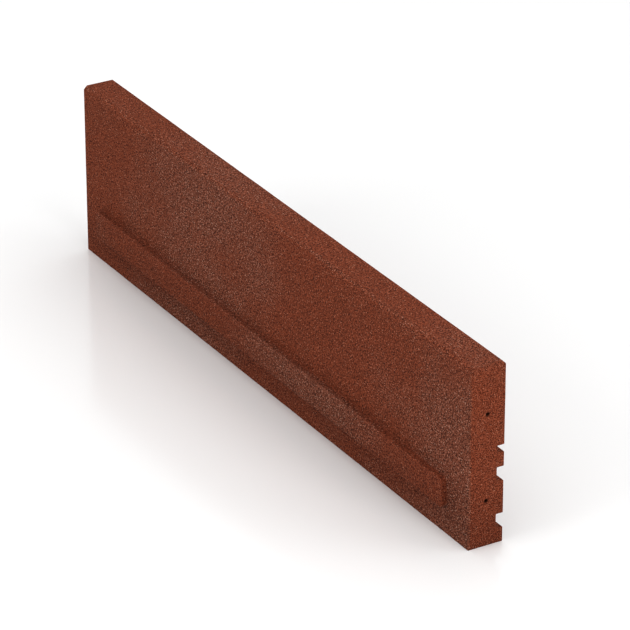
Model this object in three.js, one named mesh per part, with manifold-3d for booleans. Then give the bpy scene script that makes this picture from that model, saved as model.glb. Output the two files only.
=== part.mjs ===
// A rubber edging kerb: one long moulded slab of bonded rubber granules, set upright in concrete,
// with two plastic dowels that join it to the next kerb.
//
// Frame, in millimetres: +X runs along the kerb, from the end that holds the dowels to the end
// that takes a neighbour's. +Z is up. -Y is the front, with the raised pad. +Y is the back, with
// the grooves. The origin is the middle of the slab's base.

import * as THREE from "three";
import { mergeVertices } from "three/addons/utils/BufferGeometryUtils.js";
import Module from "manifold-3d";

// The slab.
const LENGTH = 1000;
const THICKNESS = 50;
const HEIGHT = 250;
const TOP_BEVEL = 5; // along both long top edges

// The pad that stands out of the front, near the base.
const PAD_BOTTOM = 40;
const PAD_TOP = 80;
const PAD_PROUD = 10;
const PAD_END_MARGIN = 47; // from each end of the slab to the pad
const PAD_CORNER_RADIUS = 5;
const PAD_CORNER_STEPS = 6;
const PAD_ROOT = 2; // how far the pad's solid is sunk into the slab before they are joined

// The grooves in the back that key into the concrete, from the lowest up.
const GROOVE_DEPTH = 10;
const GROOVES = [
  { bottom: 20, top: 40 },
  { bottom: 85, top: 105 },
  { bottom: 125, top: 135 },
];

// The dowel holes, two in each end face at mid-thickness.
const HOLE_RADIUS = 2.5;
const HOLE_DEPTH = 85;
const HOLE_SIDES = 24;
const HOLE_OVERCUT = 1; // how far the cutting tool starts outside the end face
const HOLE_HEIGHTS = { lower: 62.7, upper: 182 };

// The dowels, pushed home into one end. Each slides out by half its length to join two kerbs.
const DOWEL_LENGTH = 80;
const DOWEL_RADIUS = 2.35;
const DOWEL_RECESS = 1; // from the end face to the dowel's outer end
const DOWEL_CHAMFER = 0.7;
const FLUTE_COUNT = 10;
const FLUTE_DEPTH = 0.25;
const STEPS_PER_FLUTE = 4;

const RUBBER = { color: 0x70392c, roughness: 0.92, metalness: 0 };
const DOWEL_PLASTIC = { color: 0x2b2c2e, roughness: 0.45, metalness: 0 };

const X_AXIS = new THREE.Vector3(1, 0, 0);
const Y_AXIS = new THREE.Vector3(0, 1, 0);
const Z_AXIS = new THREE.Vector3(0, 0, 1);

const wasm = await Module();
wasm.setup();

// A closed geometry as a solid for joining and cutting.
function solidOf(geometry) {
  const bare = geometry.clone();
  bare.deleteAttribute("normal");
  bare.deleteAttribute("uv");
  const merged = mergeVertices(bare, 1e-4);
  return new wasm.Manifold(
    new wasm.Mesh({
      numProp: 3,
      vertProperties: merged.attributes.position.array,
      triVerts: new Uint32Array(merged.index.array),
    }),
  );
}

// A solid back as a geometry, with flat-shaded faces.
function geometryOf(solid) {
  const mesh = solid.getMesh();
  const geometry = new THREE.BufferGeometry();
  geometry.setAttribute("position", new THREE.BufferAttribute(mesh.vertProperties, 3));
  geometry.setIndex(new THREE.BufferAttribute(mesh.triVerts, 1));
  const flat = geometry.toNonIndexed();
  flat.computeVertexNormals();
  return flat;
}

// The slab's cross-section, y across and z up: straight down the front, grooved up the back.
function slabSection() {
  const front = -THICKNESS / 2;
  const back = THICKNESS / 2;
  const grooveFloor = back - GROOVE_DEPTH;
  const section = new THREE.Shape();
  section.moveTo(front, 0);
  section.lineTo(back, 0);
  for (const { bottom, top } of GROOVES) {
    section.lineTo(back, bottom);
    section.lineTo(grooveFloor, bottom);
    section.lineTo(grooveFloor, top);
    section.lineTo(back, top);
  }
  section.lineTo(back, HEIGHT - TOP_BEVEL);
  section.lineTo(back - TOP_BEVEL, HEIGHT);
  section.lineTo(front + TOP_BEVEL, HEIGHT);
  section.lineTo(front, HEIGHT - TOP_BEVEL);
  section.closePath();
  return section;
}

// The slab: its section drawn out along X, centred on the origin.
function slabSolid() {
  const geometry = new THREE.ExtrudeGeometry(slabSection(), {
    depth: LENGTH,
    bevelEnabled: false,
  });
  geometry.applyMatrix4(new THREE.Matrix4().makeBasis(Y_AXIS, Z_AXIS, X_AXIS));
  geometry.translate(-LENGTH / 2, 0, 0);
  return solidOf(geometry);
}

// The pad's outline, x across and z up: a long rectangle with rounded corners.
function padOutline() {
  const end = LENGTH / 2 - PAD_END_MARGIN;
  const r = PAD_CORNER_RADIUS;
  const outline = new THREE.Shape();
  outline.moveTo(-end + r, PAD_BOTTOM);
  outline.absarc(end - r, PAD_BOTTOM + r, r, -Math.PI / 2, 0);
  outline.absarc(end - r, PAD_TOP - r, r, 0, Math.PI / 2);
  outline.absarc(-end + r, PAD_TOP - r, r, Math.PI / 2, Math.PI);
  outline.absarc(-end + r, PAD_BOTTOM + r, r, Math.PI, 1.5 * Math.PI);
  outline.closePath();
  return outline;
}

// The pad: its outline drawn out towards the front, from inside the slab.
function padSolid() {
  const geometry = new THREE.ExtrudeGeometry(padOutline(), {
    depth: PAD_ROOT + PAD_PROUD,
    curveSegments: PAD_CORNER_STEPS,
    bevelEnabled: false,
  });
  const outwards = Y_AXIS.clone().negate();
  geometry.applyMatrix4(new THREE.Matrix4().makeBasis(X_AXIS, Z_AXIS, outwards));
  geometry.translate(0, -THICKNESS / 2 + PAD_ROOT, 0);
  return solidOf(geometry);
}

// The cutting tool for one blind dowel hole. side is +1 for the +X end face and -1 for the other.
function holeTool(side, height) {
  const length = HOLE_DEPTH + HOLE_OVERCUT;
  const geometry = new THREE.CylinderGeometry(HOLE_RADIUS, HOLE_RADIUS, length, HOLE_SIDES);
  geometry.rotateZ(Math.PI / 2);
  geometry.translate(side * (LENGTH / 2 + HOLE_OVERCUT - length / 2), 0, height);
  return solidOf(geometry);
}

function kerbBody() {
  let solid = slabSolid().add(padSolid());
  for (const side of [-1, 1]) {
    for (const height of Object.values(HOLE_HEIGHTS)) {
      solid = solid.subtract(holeTool(side, height));
    }
  }
  const mesh = new THREE.Mesh(geometryOf(solid), new THREE.MeshStandardMaterial(RUBBER));
  mesh.name = "kerb_body";
  return mesh;
}

// A dowel's cross-section: a circle with shallow flutes that grip the rubber.
function dowelSection() {
  const steps = FLUTE_COUNT * STEPS_PER_FLUTE;
  const points = [];
  for (let i = 0; i < steps; i++) {
    const angle = (2 * Math.PI * i) / steps;
    const dip = (FLUTE_DEPTH * (1 - Math.cos(FLUTE_COUNT * angle))) / 2;
    const radius = DOWEL_RADIUS - dip;
    points.push(new THREE.Vector2(radius * Math.cos(angle), radius * Math.sin(angle)));
  }
  return new THREE.Shape(points);
}

// One dowel, with both ends chamfered. It lies along X with its outer end just inside the -X face.
function dowel(name, height) {
  const geometry = new THREE.ExtrudeGeometry(dowelSection(), {
    depth: DOWEL_LENGTH - 2 * DOWEL_CHAMFER,
    bevelSize: DOWEL_CHAMFER,
    bevelOffset: -DOWEL_CHAMFER,
    bevelThickness: DOWEL_CHAMFER,
    bevelSegments: 1,
  });
  geometry.translate(0, 0, DOWEL_CHAMFER);
  geometry.applyMatrix4(new THREE.Matrix4().makeBasis(Y_AXIS, Z_AXIS, X_AXIS));
  const mesh = new THREE.Mesh(geometry, new THREE.MeshStandardMaterial(DOWEL_PLASTIC));
  mesh.name = name;
  mesh.position.set(-LENGTH / 2 + DOWEL_RECESS, 0, height);
  return mesh;
}

const kerb = new THREE.Group();
kerb.add(kerbBody());
for (const [place, height] of Object.entries(HOLE_HEIGHTS)) {
  kerb.add(dowel("connecting_dowel_" + place, height));
}

export default kerb;
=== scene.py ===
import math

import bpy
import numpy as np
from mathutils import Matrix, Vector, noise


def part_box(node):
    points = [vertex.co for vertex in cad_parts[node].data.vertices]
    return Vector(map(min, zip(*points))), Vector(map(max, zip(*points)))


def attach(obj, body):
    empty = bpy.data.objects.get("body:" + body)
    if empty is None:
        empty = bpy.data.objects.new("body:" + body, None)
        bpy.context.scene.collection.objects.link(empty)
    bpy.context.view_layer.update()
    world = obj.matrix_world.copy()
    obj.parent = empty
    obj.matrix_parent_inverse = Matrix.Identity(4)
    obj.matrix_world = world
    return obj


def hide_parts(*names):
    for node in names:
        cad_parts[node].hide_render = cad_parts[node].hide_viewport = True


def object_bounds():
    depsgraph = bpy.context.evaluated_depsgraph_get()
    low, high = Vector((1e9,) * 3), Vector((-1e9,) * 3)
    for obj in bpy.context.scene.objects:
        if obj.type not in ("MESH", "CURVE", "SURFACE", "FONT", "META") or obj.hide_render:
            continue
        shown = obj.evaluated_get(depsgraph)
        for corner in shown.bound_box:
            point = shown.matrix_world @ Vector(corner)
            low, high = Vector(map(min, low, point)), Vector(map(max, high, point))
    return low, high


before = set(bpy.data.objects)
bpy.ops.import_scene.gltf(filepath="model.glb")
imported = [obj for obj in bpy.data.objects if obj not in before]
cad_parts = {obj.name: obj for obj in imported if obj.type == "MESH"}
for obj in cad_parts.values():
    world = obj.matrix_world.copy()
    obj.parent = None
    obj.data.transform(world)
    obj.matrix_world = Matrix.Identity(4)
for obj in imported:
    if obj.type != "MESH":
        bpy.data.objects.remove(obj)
CAD_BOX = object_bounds()

# Looks for a rubber edging kerb and the two plastic dowels that join it to the next kerb.
#
# Everything is in metres, in the CAD frame: +X runs along the kerb towards its near end, -Y out of
# the front with the raised pad, and +Z up. Flat faces, grooves and holes come from the CAD nodes.

MM = 0.001
NEAR = MM / 10  # two places closer than this are the same

SQUARE_ON = 0.999  # a face whose normal has this much along an axis is square to it

KERB_NODE = "kerb_body"
DOWELS = {
    "dowel_lower": "connecting_dowel_lower",
    "dowel_upper": "connecting_dowel_upper",
}

# The kerb's mesh.
CELL = 3.4 * MM  # the usual spacing of its lines
ARRIS = 0.9 * MM  # from each edge to the nearest line beside it
HOLE_CELLS = 6  # cells across a dowel hole
HOLE_COLLAR = 8 * MM  # how far from a hole's axis the lines are pulled round
PAD_CORNER_RADIUS = 5 * MM
SMOOTH_ROUNDS = 2
SMOOTH_PULL = 0.4
RELIEF = ((12 * MM, 0.05 * MM), (40 * MM, 0.12 * MM))  # (width, height) of the unevenness

# The granules.
NOISE_SPAN = (0.3, 0.7)  # where nearly all of a noise's values lie
GRANULE = 1.3 * MM
IRREGULARITY = 0.85  # how irregularly the granules lie, from 0 to 1
WANDER = 0.5 * MM  # how far a granule's outline strays from a plain facet
CLUMP = 1.8 * MM  # the size of the clumps of like granules
CLUMP_SPAN = (0.25, 0.75)  # as NOISE_SPAN, for the clumps' simpler noise
LONE_SHARE = 0.2  # how much of a granule's tone is its own, and not its clump's
GRANULE_BUMP = 0.12 * MM
GRANULE_LIFT = 0.6  # how much higher the highest granules stand, as a share of the bump
GAP_SPAN = (0.3, 0.8)  # from a granule's middle, in its own widths, to the gap round it
GAP_SHADES = (1.05, 0.5)  # how much of the colour each of those keeps
GRANULE_ROUGHNESS = (0.78, 0.98)
GRANULE_SPECULAR = 0.12
MOTTLE_SCALE = 60.0  # per metre
MOTTLE_SHADE = 0.03
# Where the granules' pattern turns on to the next face: parts of a normal along X, and along Z.
END_TURN = math.sin(math.radians(37))
SLOPE_TURN = math.sin(math.radians(22.5))
LEVEL_TURN = math.sin(math.radians(67.5))
END_FINER = 1.25  # how much finer the granules are on the end faces
FOOT_PAINTED_SHADE = 0.19  # painted shade: how much darker the foot is
FOOT_SHADE_HEIGHT = 130 * MM
FOOT_BAND_WANDER = 40 * MM  # how far the foot's bands stray up and down
FOOT_BOUNCE_LIGHT = 0.12  # painted light bounced from the floor: how much paler the front's lowest edge is
BOUNCE_LIGHT_HEIGHTS = (28 * MM, 40 * MM)  # from where it fades to where it ends, with the wander added
FRONT_TURN = -0.5  # a face whose normal's part along Y is below this looks to the front
BORE_SHADE = 0.40  # painted shade on a dowel hole's wall: how much of its colour it keeps
BORE_MARK = "bore"  # the point attribute that is 1 inside the dowel holes
BORE_RIM = 0.5  # and this on their rims
BRICK_TONES = (
    (0.00, (0.056, 0.014, 0.007)),
    (0.20, (0.115, 0.029, 0.014)),
    (0.50, (0.196, 0.052, 0.024)),
    (0.85, (0.265, 0.075, 0.036)),
    (0.95, (0.325, 0.113, 0.064)),
    (1.00, (0.425, 0.200, 0.132)),
)
GREY_TONES = (
    (0.00, (0.045, 0.017, 0.010)),
    (0.22, (0.101, 0.034, 0.020)),
    (0.50, (0.183, 0.061, 0.035)),
    (0.78, (0.261, 0.093, 0.056)),
    (0.90, (0.344, 0.156, 0.105)),
    (1.00, (0.475, 0.292, 0.226)),
)
CLOUD_SCALE = 9.0  # per metre
CLOUD_SPAN = (0.5, 0.75)
CLOUD_GREY = 0.2  # the most that the clouds alone turn the mix grey
PATCH_STRAY = 0.25  # how far a patch's edge strays, as a share of its reach
PATCH_EDGE = (0.3, 1.1)  # from a patch's full strength to none, in its reaches
# Painted sheen and bounced light, as patches of pale and dark granules: (centre, reach each way,
# strength).
SHEEN_PATCHES = (
    ((-0.145, -0.025, 0.230), (0.235, 0.003, 0.160), 0.95),
    ((-0.190, -0.025, 0.105), (0.210, 0.003, 0.110), 0.80),
    ((-0.190, -0.030, 0.080), (0.200, 0.008, 0.004), 0.50),
    ((-0.125, 0.000, 0.250), (0.200, 0.060, 0.012), 0.65),
    ((0.510, -0.025, 0.080), (0.215, 0.003, 0.300), 0.90),
    ((0.430, -0.025, 0.000), (0.190, 0.003, 0.050), 0.70),
    ((0.480, 0.000, 0.250), (0.130, 0.060, 0.012), 0.40),
    ((0.145, -0.035, 0.060), (0.210, 0.010, 0.060), 0.93),
    ((-0.235, -0.025, 0.010), (0.190, 0.003, 0.040), 0.78),
    ((-0.480, -0.035, 0.050), (0.080, 0.004, 0.060), 0.40),
    # a painted highlight along the top front edge
    ((0.000, -0.022, 0.248), (0.900, 0.004, 0.004), 0.50),
)

# The dowels.
FLUTES = 10
FLUTE_DEPTH = 0.25 * MM
RING_STEPS = 8 * FLUTES  # points round each ring
RING_GAP = 2.5 * MM
NOSE_LENGTH = 1.4 * MM
NOSE_RINGS = 6
TIP_SHARE = 0.62  # the flat tip's radius, as a share of the dowel's
GATE_DIMPLE = 0.2 * MM  # the moulding gate's mark in each tip
PLASTIC_TONES = (
    (0.3, (0.019, 0.020, 0.022)),
    (0.7, (0.030, 0.031, 0.033)),
)
PLASTIC_CLOUD_SCALE = 260.0  # per metre, as are the next two
PLASTIC_GRAIN_SCALE = 3200.0
STREAK_SCALES = (120.0, 2200.0, 2200.0)  # the streaks run along the dowel
SCUFF_COLOUR = (0.075, 0.076, 0.078, 1)
SCUFF_SPAN = (0.58, 0.72)
SCUFF_STRENGTH = 0.5
PLASTIC_ROUGHNESS = (0.34, 0.58)
PLASTIC_BUMP = 0.04 * MM
PLASTIC_BUMP_STRENGTH = 0.6

# The camera, solved from the kerb's own corners and edges in the photograph.
CAMERA_PLACE = Vector((4.15002, -2.39442, 2.47569))
CAMERA_AIM = Vector((0.08915, 0.0, 0.14081))
CAMERA_LENS = 233.13
CAMERA_SENSOR = 36.0
CLIP_END = 300.0

# The studio.
FLOOR_HALF = 60.0  # half its side
FLOOR_WHITE = (0.8, 0.8, 0.8, 1)
FLOOR_ROUGHNESS = 0.15
SKY_STRENGTH = 0.88
SOFTBOX_SPREAD = 0.6  # its width, as a share of its distance
# (name, azimuth, elevation, distance, watts). Azimuth 0 is out of the kerb's front, and 90 off its
# near end.
SOFTBOXES = (
    ("front", 0, 28, 4.0, 50),
    ("near_end", 90, 28, 4.0, 68),
    ("behind_near_end", 135, 28, 4.0, 20),
    ("far_end", 270, 28, 8.0, 148),
    ("overhead", 225, 60, 4.0, 9),
)
DISPLAY_GAMMA = 0.8  # the photograph has more contrast than a plain display


# ---- meshes


def object_from(name, points, faces):
    """A new smooth-shaded object."""
    mesh = bpy.data.meshes.new(name)
    mesh.from_pydata(points, [], faces)
    mesh.validate()
    mesh.shade_smooth()
    piece = bpy.data.objects.new(name, mesh)
    bpy.context.scene.collection.objects.link(piece)
    return piece


def face_planes(mesh, axis):
    """Where a mesh's faces that are square to an axis lie."""
    square = (face for face in mesh.polygons if abs(face.normal[axis]) > SQUARE_ON)
    return {round(mesh.vertices[face.vertices[0]].co[axis], 6) for face in square}


def bevel_start(mesh):
    """The height at which the faces that slope in at 45 degrees to the top begin."""
    slope = math.sqrt(0.5)
    heights = []
    for face in mesh.polygons:
        across, up = abs(face.normal.y), face.normal.z
        if max(abs(across - slope), abs(up - slope)) < 1 - SQUARE_ON:
            heights += [mesh.vertices[i].co.z for i in face.vertices]
    return min(heights)


def is_inside(node, point):
    """Whether a point is in a CAD node's solid."""
    _, place, normal, _ = node.closest_point_on_mesh(point)
    return (point - place).dot(normal) < 0


def lines_between(planes, fine_width=0.0):
    """Lines along one axis, with a margin beside each plane and cells about CELL long between.

    A gap between planes no wider than fine_width gets HOLE_CELLS cells instead. The second array
    says which gap each cell is in.
    """
    lines = [planes[0]]
    gaps = []
    for gap, (low, high) in enumerate(zip(planes, planes[1:])):
        if high - low <= fine_width:
            marks = np.linspace(low, high, HOLE_CELLS + 1)[1:]
        else:
            inner = max(1, round((high - low - 2 * ARRIS) / CELL))
            marks = [*np.linspace(low + ARRIS, high - ARRIS, inner + 1), high]
        lines.extend(marks)
        gaps.extend([gap] * len(marks))
    return np.array(lines), np.array(gaps)


def boundary_quads(full):
    """The faces between full and empty cells, turned outwards: four lattice points for each."""
    padded = np.pad(full, 1).astype(np.int8)
    quads = []
    for axis in range(3):
        side_a, side_b = (axis + 1) % 3, (axis + 2) % 3
        change = np.diff(padded, axis=axis)
        for outward in (1, -1):
            cells = np.argwhere(change == -outward)
            cells[:, [side_a, side_b]] -= 1
            corners = []
            for step_a, step_b in ((0, 0), (1, 0), (1, 1), (0, 1))[::outward]:
                corner = cells.copy()
                corner[:, side_a] += step_a
                corner[:, side_b] += step_b
                corners.append(corner)
            quads.append(np.stack(corners, axis=1))
    return np.concatenate(quads)


def smoothed(points, quads):
    """Points drawn towards the mean of their neighbours, which rounds the arrises."""
    starts = quads.ravel()
    ends = np.roll(quads, -1, axis=1).ravel()
    count = np.bincount(starts, minlength=len(points))
    for _ in range(SMOOTH_ROUNDS):
        sums = [np.bincount(starts, points[ends, axis], len(points)) for axis in range(3)]
        mean = np.stack(sums, axis=1) / count[:, None]
        points = points + SMOOTH_PULL * (mean - points)
    return points


def roughen(piece):
    """Moves a piece's surface in and out a little, as granules do."""
    mesh = piece.data
    normals = np.empty(len(mesh.vertices) * 3, np.float32)
    mesh.vertex_normals.foreach_get("vector", normals)
    points = np.empty(len(mesh.vertices) * 3, np.float32)
    mesh.vertices.foreach_get("co", points)
    height = np.zeros(len(mesh.vertices))
    for width, amount in RELIEF:
        height += [amount * noise.noise(v.co / width) for v in mesh.vertices]
    points += normals * np.repeat(height, 3)
    mesh.vertices.foreach_set("co", points.astype(np.float32))
    mesh.update()


# ---- the kerb


def hole_axes():
    """The y and z of each dowel hole. The dowels lie in them."""
    middles = [sum(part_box(node), Vector()) / 2 for node in DOWELS.values()]
    return [(middle.y, middle.z) for middle in middles]


def hole_radius(mesh, axis):
    """A dowel hole's radius, from its rims in the end faces."""
    y, z = axis
    ends = (v.co for v in mesh.vertices if abs(v.co.x) > CAD_BOX[1].x - NEAR)
    return round(min(math.hypot(co.y - y, co.z - z) for co in ends), 6)


def pad_outline(mesh, front):
    """The lowest and highest (x, z) of the pad, which stands out of the front."""
    proud = [(v.co.x, v.co.z) for v in mesh.vertices if v.co.y < front - MM]
    return np.min(proud, axis=0), np.max(proud, axis=0)


def round_pad_corners(points, mesh, front):
    """Draws the pad's square corners into arcs, on its face and where it meets the front."""
    (left, bottom), (right, top) = pad_outline(mesh, front)
    r = PAD_CORNER_RADIUS
    for x, inward_x in ((left, 1), (right, -1)):
        for z, inward_z in ((bottom, 1), (top, -1)):
            u = r - inward_x * (points[:, 0] - x)
            v = r - inward_z * (points[:, 2] - z)
            corner = (points[:, 1] < front + NEAR) & (np.minimum(u, v) > 0)
            corner &= np.maximum(u, v) < r + NEAR
            u, v = u[corner], v[corner]
            pull = np.maximum(u, v) / np.hypot(u, v)
            points[corner, 0] = x + inward_x * (r - u * pull)
            points[corner, 2] = z + inward_z * (r - v * pull)


def round_hole(points, axis, radius):
    """Pulls the square lines round a dowel hole's axis into circles."""
    away = points[:, 1:] - axis
    square = np.abs(away).max(axis=1)
    circle = np.maximum(np.hypot(*away.T), NEAR)
    share = np.clip((HOLE_COLLAR - square) / (HOLE_COLLAR - radius), 0, 1)
    pull = 1 + share * (square / circle - 1)
    points[:, 1:] = axis + away * pull[:, None]


def in_holes(points, axes, radius):
    """1 for each point inside a dowel hole, BORE_RIM for each on a rim, and 0 for the rest."""
    away = np.min([np.hypot(*(points[:, 1:] - axis).T) for axis in axes], axis=0)
    depth_mark = np.where(np.abs(points[:, 0]) < CAD_BOX[1].x - NEAR, 1.0, BORE_RIM)
    return np.where(away < radius + NEAR, depth_mark, 0.0).astype(np.float32)


def slope_top_edges(points, start):
    """Draws the sides in at 45 degrees above a height."""
    half = CAD_BOX[1].y
    above = np.clip(points[:, 2] - start, 0, None)
    points[:, 1] *= 1 - above / half


def kerb_planes(mesh, axes, radius, start):
    """Along each axis, where the flat faces are, and where the holes and the bevels begin."""
    planes = [face_planes(mesh, axis) for axis in range(3)]
    planes[2].add(start)
    for y, z in axes:
        planes[1] |= {y - radius, y + radius}
        planes[2] |= {z - radius, z + radius}
    return [sorted(places) for places in planes]


def solid_blocks(node, planes):
    """Which of the blocks between the planes are in a CAD node's solid."""
    mid_x, mid_y, mid_z = (np.add(places[1:], places[:-1]) / 2 for places in planes)
    return np.array(
        [[[is_inside(node, Vector((x, y, z))) for z in mid_z] for y in mid_y] for x in mid_x]
    )


def lattice_mesh(full, lines):
    """The points and faces round the full cells of a lattice."""
    shape = tuple(len(marks) for marks in lines)
    numbers = np.ravel_multi_index(boundary_quads(full).reshape(-1, 3).T, shape)
    used, faces = np.unique(numbers, return_inverse=True)
    places = np.unravel_index(used, shape)
    points = np.stack([marks[place] for marks, place in zip(lines, places)], axis=1)
    return points, faces.reshape(-1, 4)


def kerb_piece():
    """The kerb: its CAD solid's shape in small cells, with softened arrises and relief."""
    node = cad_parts[KERB_NODE]
    mesh = node.data
    axes = hole_axes()
    radius = hole_radius(mesh, axes[0])
    start = bevel_start(mesh)
    planes = kerb_planes(mesh, axes, radius, start)
    front = planes[1][1]  # behind the pad's face
    hole_width = 2 * radius + NEAR
    xs, gaps_x = lines_between(planes[0])
    ys, gaps_y = lines_between(planes[1], hole_width)
    zs, gaps_z = lines_between(planes[2], hole_width)
    full = solid_blocks(node, planes)[np.ix_(gaps_x, gaps_y, gaps_z)]
    points, faces = lattice_mesh(full, (xs, ys, zs))

    round_pad_corners(points, mesh, front)
    for axis in axes:
        round_hole(points, axis, radius)
    slope_top_edges(points, start)
    bore = in_holes(points, axes, radius)
    points = smoothed(points, faces)
    kerb = object_from("kerb_granulate", points.tolist(), faces.tolist())
    roughen(kerb)
    kerb.data.attributes.new(BORE_MARK, "FLOAT", "POINT").data.foreach_set("value", bore)
    kerb.data.materials.append(granulate())
    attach(kerb, "kerb")
    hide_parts(KERB_NODE)


# ---- the dowels


def dowel_rings(length):
    """Along a dowel, each ring's (distance from the outer tip, share of the full radius)."""
    nose = []
    for step in range(NOSE_RINGS + 1):
        angle = math.pi / 2 * step / NOSE_RINGS
        share = TIP_SHARE + (1 - TIP_SHARE) * math.sin(angle)
        nose.append((NOSE_LENGTH * (1 - math.cos(angle)), share))
    gaps = round((length - 2 * NOSE_LENGTH) / RING_GAP)
    shank = np.linspace(NOSE_LENGTH, length - NOSE_LENGTH, gaps + 1)[1:-1]
    tail = [(length - along, share) for along, share in reversed(nose)]
    return [*nose, *((along, 1.0) for along in shank), *tail]


def dowel_points(low, high):
    """A fluted dowel's points between two corners, ring by ring, and then each tip's middle."""
    centre = (low + high) / 2
    radius = (high.y - low.y) / 2
    points = []
    for along, share in dowel_rings(high.x - low.x):
        for step in range(RING_STEPS):
            angle = 2 * math.pi * step / RING_STEPS
            dip = FLUTE_DEPTH * share * (1 - math.cos(FLUTES * angle)) / 2
            reach = radius * share - dip
            y = centre.y + reach * math.cos(angle)
            z = centre.z + reach * math.sin(angle)
            points.append((low.x + along, y, z))
    points.append((low.x + GATE_DIMPLE, centre.y, centre.z))
    points.append((high.x - GATE_DIMPLE, centre.y, centre.z))
    return points


def dowel_faces(point_count):
    """A dowel's faces: between its rings, and in a fan over each tip."""
    faces = []
    last = point_count - 2 - RING_STEPS  # the last ring's first point
    for start in range(0, last, RING_STEPS):
        for step in range(RING_STEPS):
            a, b = start + step, start + (step + 1) % RING_STEPS
            faces.append((a, a + RING_STEPS, b + RING_STEPS, b))
    for step in range(RING_STEPS):
        after = (step + 1) % RING_STEPS
        faces.append((step, after, point_count - 2))
        faces.append((last + after, last + step, point_count - 1))
    return faces


def dowel_piece(body, node, paint):
    """A fluted dowel with rounded ends, where its CAD node is."""
    points = dowel_points(*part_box(node))
    piece = object_from(body + "_fluted", points, dowel_faces(len(points)))
    piece.data.materials.append(paint)
    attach(piece, body)
    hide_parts(node)


# ---- materials


def new_paint(name):
    """A new material, with its node tree and shader."""
    paint = bpy.data.materials.new(name)
    paint.use_nodes = True
    return paint, paint.node_tree, paint.node_tree.nodes["Principled BSDF"]


def add(tree, kind, inputs, **settings):
    """A new shader node. Each input is a value, or a socket to link from."""
    node = tree.nodes.new("ShaderNode" + kind)
    for name, value in settings.items():
        setattr(node, name, value)
    for name, value in inputs.items():
        if isinstance(value, bpy.types.NodeSocket):
            tree.links.new(value, node.inputs[name])
        else:
            node.inputs[name].default_value = value
    return node


def calculate(tree, operation, *values):
    """The result of a Math node."""
    return add(tree, "Math", dict(enumerate(values)), operation=operation).outputs[0]


def remap(tree, value, low, high, to_low=0.0, to_high=1.0):
    """A value from low to high, spread smoothly from to_low to to_high."""
    inputs = {"Value": value, "From Min": low, "From Max": high}
    inputs |= {"To Min": to_low, "To Max": to_high}
    return add(tree, "MapRange", inputs, interpolation_type="SMOOTHSTEP").outputs["Result"]


def ramp(tree, value, stops):
    """A colour ramp from (position, colour) stops."""
    node = add(tree, "ValToRGB", {"Fac": value})
    elements = node.color_ramp.elements
    for index, (position, colour) in enumerate(stops):
        element = elements[index] if index < 2 else elements.new(position)
        element.position = position
        element.color = (*colour, 1)
    return node.outputs["Color"]


def mix_colours(tree, share, a, b):
    """Two colours mixed, as b over a."""
    return add(tree, "Mix", {0: share, 6: a, 7: b}, data_type="RGBA").outputs[2]


def grey_and_sheen_share(tree, place):
    """How far the mix leans to pale and dark granules, 0 to 1; its patches are painted sheen."""
    cloud = add(tree, "TexNoise", {"Vector": place, "Scale": CLOUD_SCALE, "Detail": 4.0})
    cloud = cloud.outputs["Fac"]
    ragged = remap(tree, cloud, *NOISE_SPAN, -PATCH_STRAY, PATCH_STRAY)
    share = remap(tree, cloud, *CLOUD_SPAN, 0.0, CLOUD_GREY)
    # patches of painted sheen and bounced light
    for centre, reach, strength in SHEEN_PATCHES:
        away = add(tree, "VectorMath", {0: place, 1: centre}, operation="SUBTRACT")
        away = add(tree, "VectorMath", {0: away.outputs[0], 1: reach}, operation="DIVIDE")
        away = add(tree, "VectorMath", {0: away.outputs[0]}, operation="LENGTH")
        distance = calculate(tree, "ADD", away.outputs["Value"], ragged)
        patch = remap(tree, distance, *PATCH_EDGE, strength, 0.0)
        share = calculate(tree, "MAXIMUM", share, patch)
    return share


def foot_shade(tree, place, ragged):
    """How much of its colour a point keeps, with painted shade that darkens the foot.

    The front's lowest edge is a little paler, with painted light bounced from the floor.
    """
    height = add(tree, "SeparateXYZ", {"Vector": place}).outputs["Z"]
    height = calculate(tree, "MULTIPLY_ADD", ragged, FOOT_BAND_WANDER, height)
    # painted shade: darker towards the foot
    foot_darkening = remap(tree, height, FOOT_BAND_WANDER / 2, FOOT_SHADE_HEIGHT, 1 - FOOT_PAINTED_SHADE, 1.0)
    facing = add(tree, "TexCoord", {}).outputs["Normal"]
    facing = add(tree, "SeparateXYZ", {"Vector": facing}).outputs["Y"]
    front = calculate(tree, "LESS_THAN", facing, FRONT_TURN)
    # painted light bounced from the floor, on the front's lowest edge
    scuff_and_bounce = remap(tree, height, *BOUNCE_LIGHT_HEIGHTS, FOOT_BOUNCE_LIGHT, 0.0)
    scuff_and_bounce = calculate(tree, "MULTIPLY_ADD", front, scuff_and_bounce, 1.0)
    return calculate(tree, "MULTIPLY", foot_darkening, scuff_and_bounce)


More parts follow.
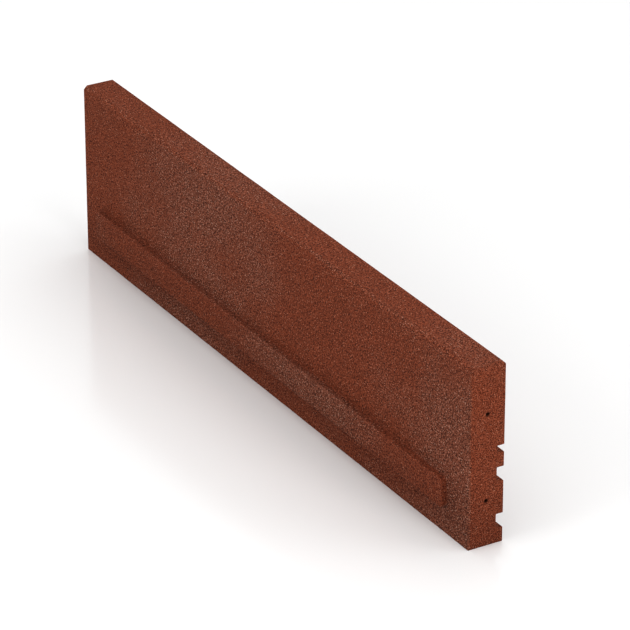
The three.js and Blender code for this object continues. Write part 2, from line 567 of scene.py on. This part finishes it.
def face_place(tree):
    """Where a point is on its own face: along and up it, or along and across it where it is level.

    Up a face that slopes, such as a bevel, it counts the distance along the slope. On the end
    faces every distance is stretched, for finer granules.
    """
    coordinates = add(tree, "TexCoord", {})
    place = add(tree, "SeparateXYZ", {"Vector": coordinates.outputs["Object"]})
    facing = add(tree, "SeparateXYZ", {"Vector": coordinates.outputs["Normal"]})
    end_on = calculate(tree, "ABSOLUTE", facing.outputs["X"])
    end_on = calculate(tree, "GREATER_THAN", end_on, END_TURN)
    tilt = calculate(tree, "ABSOLUTE", facing.outputs["Z"])
    sloping = calculate(tree, "GREATER_THAN", tilt, SLOPE_TURN)
    level = calculate(tree, "GREATER_THAN", tilt, LEVEL_TURN)

    side = calculate(tree, "ABSOLUTE", place.outputs["Y"])
    side = calculate(tree, "MULTIPLY", side, calculate(tree, "SIGN", facing.outputs["Z"]))
    slope = calculate(tree, "SUBTRACT", place.outputs["Z"], side)
    slope = calculate(tree, "MULTIPLY", slope, math.sqrt(0.5))
    up = add(tree, "Mix", {0: sloping, 2: place.outputs["Z"], 3: slope}).outputs[0]
    up = add(tree, "Mix", {0: level, 2: up, 3: place.outputs["Y"]}).outputs[0]
    inputs = {0: end_on, 2: place.outputs["X"], 3: place.outputs["Y"]}
    along = add(tree, "Mix", inputs).outputs[0]
    flat = add(tree, "CombineXYZ", {"X": along, "Y": up}).outputs[0]
    finer = add(tree, "Mix", {0: end_on, 2: 1.0, 3: END_FINER}).outputs[0]
    return add(tree, "VectorMath", {0: flat, "Scale": finer}, operation="SCALE").outputs[0]


def granule_cells(tree):
    """The granules: cells in the faces' planes, with outlines that stray a little."""
    flat = face_place(tree)
    inputs = {"Vector": flat, "Scale": 1 / GRANULE, "Detail": 1.0}
    stray = add(tree, "TexNoise", inputs, noise_dimensions="2D")
    inputs = {0: stray.outputs["Color"], 1: (WANDER,) * 3, 2: flat}
    bent = add(tree, "VectorMath", inputs, operation="MULTIPLY_ADD").outputs[0]
    inputs = {"Vector": bent, "Scale": 1 / GRANULE, "Randomness": IRREGULARITY}
    return add(tree, "TexVoronoi", inputs, voronoi_dimensions="2D")


def granule_tone(tree, granule, chance):
    """Each granule's place on the ramps of tones, from 0 to 1, much like its neighbours'."""
    inputs = {"Vector": granule.outputs["Position"], "Scale": 1 / CLUMP, "Detail": 0.0}
    clump = add(tree, "TexNoise", inputs, noise_dimensions="2D")
    clump = remap(tree, clump.outputs["Fac"], *CLUMP_SPAN)
    return add(tree, "Mix", {0: LONE_SHARE, 2: clump, 3: chance}).outputs[0]


def granulate_shade(tree, place, reach):
    """How much colour a point keeps: less in gaps; painted shade at the foot and in dowel holes.
    """
    mottle = add(tree, "TexNoise", {"Vector": place, "Scale": MOTTLE_SCALE, "Detail": 3.0})
    mottle = mottle.outputs["Fac"]
    shade = remap(tree, mottle, *NOISE_SPAN, 1 - MOTTLE_SHADE, 1 + MOTTLE_SHADE)
    gap = remap(tree, reach, *GAP_SPAN, *GAP_SHADES)
    # painted shade inside the dowel holes
    bore = add(tree, "Attribute", {}, attribute_name=BORE_MARK).outputs["Fac"]
    bore = remap(tree, bore, 0.0, 1.0, 1.0, BORE_SHADE)
    for part in (gap, foot_shade(tree, place, mottle), bore):
        shade = calculate(tree, "MULTIPLY", shade, part)
    return shade


def granulate():
    """Brick-red rubber granules, bonded and pressed: a mix of tones, with dark gaps between."""
    paint, tree, shader = new_paint("rubber_granulate")
    place = add(tree, "TexCoord", {}).outputs["Object"]
    granule = granule_cells(tree)
    chance = add(tree, "SeparateColor", {"Color": granule.outputs["Color"]})
    reach = granule.outputs["Distance"]
    tone = granule_tone(tree, granule, chance.outputs["Red"])
    brick, grey = ramp(tree, tone, BRICK_TONES), ramp(tree, tone, GREY_TONES)
    colour = mix_colours(tree, grey_and_sheen_share(tree, place), brick, grey)
    inputs = {0: colour, "Scale": granulate_shade(tree, place, reach)}
    shaded = add(tree, "VectorMath", inputs, operation="SCALE").outputs[0]
    tree.links.new(shaded, shader.inputs["Base Color"])

    roughness = remap(tree, chance.outputs["Blue"], 0.0, 1.0, *GRANULE_ROUGHNESS)
    tree.links.new(roughness, shader.inputs["Roughness"])
    shader.inputs["Specular IOR Level"].default_value = GRANULE_SPECULAR

    lift = calculate(tree, "MULTIPLY", chance.outputs["Green"], GRANULE_LIFT)
    dome = calculate(tree, "SUBTRACT", lift, reach)
    bump = add(tree, "Bump", {"Height": dome, "Distance": GRANULE_BUMP, "Strength": 1.0})
    tree.links.new(bump.outputs["Normal"], shader.inputs["Normal"])
    return paint


def dowel_plastic():
    """Dark moulded plastic with a fine grain, and paler scuffs in streaks along it."""
    paint, tree, shader = new_paint("dowel_plastic")
    place = add(tree, "TexCoord", {}).outputs["Object"]
    inputs = {"Vector": place, "Scale": PLASTIC_CLOUD_SCALE, "Detail": 5.0}
    cloud = add(tree, "TexNoise", inputs)
    inputs = {"Vector": place, "Scale": PLASTIC_GRAIN_SCALE, "Detail": 2.0}
    grain = add(tree, "TexNoise", inputs)
    drawn_out = add(tree, "VectorMath", {0: place, 1: STREAK_SCALES}, operation="MULTIPLY")
    inputs = {"Vector": drawn_out.outputs[0], "Scale": 1.0, "Detail": 3.0}
    streak = add(tree, "TexNoise", inputs).outputs["Fac"]
    body = ramp(tree, cloud.outputs["Fac"], PLASTIC_TONES)
    scuff_and_bounce = remap(tree, streak, *SCUFF_SPAN, 0.0, SCUFF_STRENGTH)
    tree.links.new(mix_colours(tree, scuff_and_bounce, body, SCUFF_COLOUR), shader.inputs["Base Color"])
    roughness = remap(tree, streak, *NOISE_SPAN, *PLASTIC_ROUGHNESS)
    tree.links.new(roughness, shader.inputs["Roughness"])
    height = calculate(tree, "ADD", grain.outputs["Fac"], scuff_and_bounce)
    inputs = {"Height": height, "Distance": PLASTIC_BUMP, "Strength": PLASTIC_BUMP_STRENGTH}
    bump = add(tree, "Bump", inputs)
    tree.links.new(bump.outputs["Normal"], shader.inputs["Normal"])
    return paint


# ---- stage, light and camera


def lay_floor():
    """A large pale floor with a soft gloss."""
    h = FLOOR_HALF
    corners = [(-h, -h, 0), (h, -h, 0), (h, h, 0), (-h, h, 0)]
    floor = object_from("studio_floor", corners, [(0, 1, 2, 3)])
    paint, _, shader = new_paint("floor_white")
    shader.inputs["Base Color"].default_value = FLOOR_WHITE
    shader.inputs["Roughness"].default_value = FLOOR_ROUGHNESS
    floor.data.materials.append(paint)


def light_sky():
    """An even white sky."""
    world = bpy.data.worlds.new("studio_sky")
    world.use_nodes = True
    background = world.node_tree.nodes["Background"]
    background.inputs["Color"].default_value = (1, 1, 1, 1)
    background.inputs["Strength"].default_value = SKY_STRENGTH
    bpy.context.scene.world = world


def hang_softbox(name, azimuth, elevation, distance, watts):
    """A round softbox that faces the kerb."""
    around, up = math.radians(azimuth), math.radians(elevation)
    flat = math.cos(up)
    outward = Vector((math.sin(around) * flat, -math.cos(around) * flat, math.sin(up)))
    lamp = bpy.data.lights.new("softbox_" + name, "AREA")
    lamp.shape = "DISK"
    lamp.size = SOFTBOX_SPREAD * distance
    lamp.energy = watts
    holder = bpy.data.objects.new("softbox_" + name, lamp)
    holder.location = outward * distance
    holder.rotation_euler = (-outward).to_track_quat("-Z", "Y").to_euler()
    bpy.context.scene.collection.objects.link(holder)


def set_camera():
    """The camera, at the photograph's place and angle."""
    lens = bpy.data.cameras.new("camera")
    lens.lens = CAMERA_LENS
    lens.sensor_width = CAMERA_SENSOR
    lens.clip_end = CLIP_END
    camera = bpy.data.objects.new("camera", lens)
    camera.location = CAMERA_PLACE
    camera.rotation_euler = (CAMERA_AIM - CAMERA_PLACE).to_track_quat("-Z", "Y").to_euler()
    bpy.context.scene.collection.objects.link(camera)
    bpy.context.scene.camera = camera


kerb_piece()
plastic = dowel_plastic()
for body, node in DOWELS.items():
    dowel_piece(body, node, plastic)

lay_floor()
light_sky()
for softbox in SOFTBOXES:
    hang_softbox(*softbox)
set_camera()
bpy.context.scene.view_settings.view_transform = "Standard"
bpy.context.scene.view_settings.gamma = DISPLAY_GAMMA
